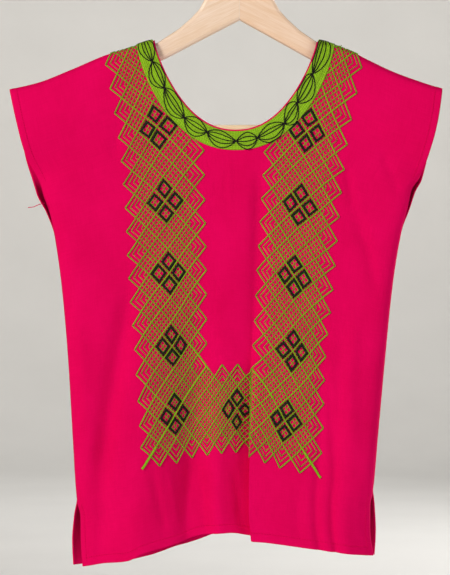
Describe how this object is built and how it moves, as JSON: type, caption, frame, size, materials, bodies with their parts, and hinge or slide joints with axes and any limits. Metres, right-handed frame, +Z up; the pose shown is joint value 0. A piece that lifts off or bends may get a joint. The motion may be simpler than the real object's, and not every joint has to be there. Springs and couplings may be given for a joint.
{
  "type": "huipil blouse on a wooden hanger",
  "caption": "Short-sleeved cotton huipil blouse with a scooped embroidered neck band and side slits, hanging on a wooden hanger with a trouser bar.",
  "frame": {"origin": "inside top of the hook, where a wardrobe rail carries it", "axes": "+Z up along the hanging garment, -Y out of the front of the blouse, +X to the right as the front is seen"},
  "size_m": [0.5175, 0.064, 0.7985],
  "materials": {
    "cotton": "matte",
    "embroidery": "satin",
    "hanger_wood": "satin",
    "hook_steel": "polished"
  },
  "bodies": {
    "root": {"front_panel": "cotton", "back_panel": "cotton", "neck_band_front": "embroidery", "neck_band_back": "embroidery", "hanger_arm_left": "hanger_wood", "hanger_arm_right": "hanger_wood", "hanger_bar": "hanger_wood", "hook": "hook_steel"}
  },
  "joints": []
}
